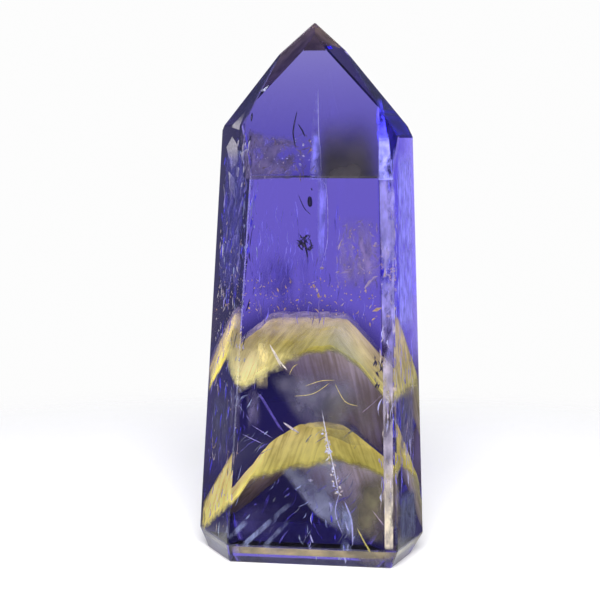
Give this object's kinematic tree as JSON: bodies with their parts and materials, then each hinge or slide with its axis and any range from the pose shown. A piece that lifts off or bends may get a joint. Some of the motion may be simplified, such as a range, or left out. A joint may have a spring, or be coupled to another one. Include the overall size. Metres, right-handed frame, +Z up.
{
  "type": "powellite crystal point",
  "caption": "Clear violet-blue polished crystal point with yellow phantoms: a tapered prism with a faceted tip, standing on a bevelled flat base.",
  "frame": {"origin": "on the flat base, in the middle of the outline", "axes": "+Z up towards the tip, -Y out of the widest prism face"},
  "size_m": [0.0342, 0.0246, 0.0798],
  "materials": {
    "clear_crystal": "polished, clear, violet-blue",
    "phantom_dust": "matt yellow mineral dust, grown over by the crystal"
  },
  "bodies": {
    "root": {"crystal": "clear_crystal", "phantom_upper": "phantom_dust", "phantom_lower": "phantom_dust"}
  },
  "joints": []
}
